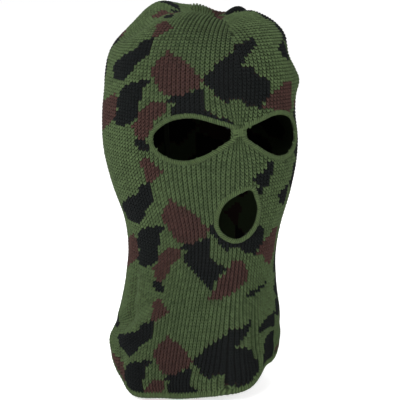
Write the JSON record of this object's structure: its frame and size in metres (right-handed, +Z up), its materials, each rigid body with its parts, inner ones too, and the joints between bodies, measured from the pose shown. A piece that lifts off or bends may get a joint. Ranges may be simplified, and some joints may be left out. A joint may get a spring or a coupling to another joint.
{
  "type": "knitted balaclava",
  "caption": "Close-fitting knitted hood and neck tube with bound openings for the eyes and mouth, seamed crown and rolled hem.",
  "frame": {"origin": "centre of the neck opening, on the plane that the hem rests on", "axes": "+Z up towards the crown, -Y the way the face looks, +X towards the wearer's left"},
  "size_m": [0.1633, 0.2021, 0.3351],
  "materials": {
    "camouflage_knit": "matt acrylic yarn, three-colour jacquard",
    "olive_knit": "matt acrylic yarn",
    "olive_thread": "matt twisted thread",
    "dark_thread": "matt twisted thread"
  },
  "bodies": {
    "root": {"face_panel": "camouflage_knit", "rear_panel": "camouflage_knit", "neck_front": "camouflage_knit", "neck_rear": "camouflage_knit", "crown_gore_front_right": "camouflage_knit", "crown_gore_front_left": "camouflage_knit", "crown_gore_rear_right": "camouflage_knit", "crown_gore_rear_left": "camouflage_knit", "crown_seam_fore_aft": "dark_thread", "crown_seam_side": "dark_thread", "back_seam": "dark_thread", "crown_gather": "olive_knit", "crown_tack": "dark_thread", "eye_binding_right": "olive_knit", "eye_binding_left": "olive_knit", "mouth_binding": "olive_knit", "eye_stitches_right": "olive_thread", "eye_stitches_left": "olive_thread", "mouth_stitches": "olive_thread", "nose_bridge_tack": "olive_thread", "neck_hem": "olive_knit", "hem_stitches": "olive_thread"}
  },
  "joints": []
}
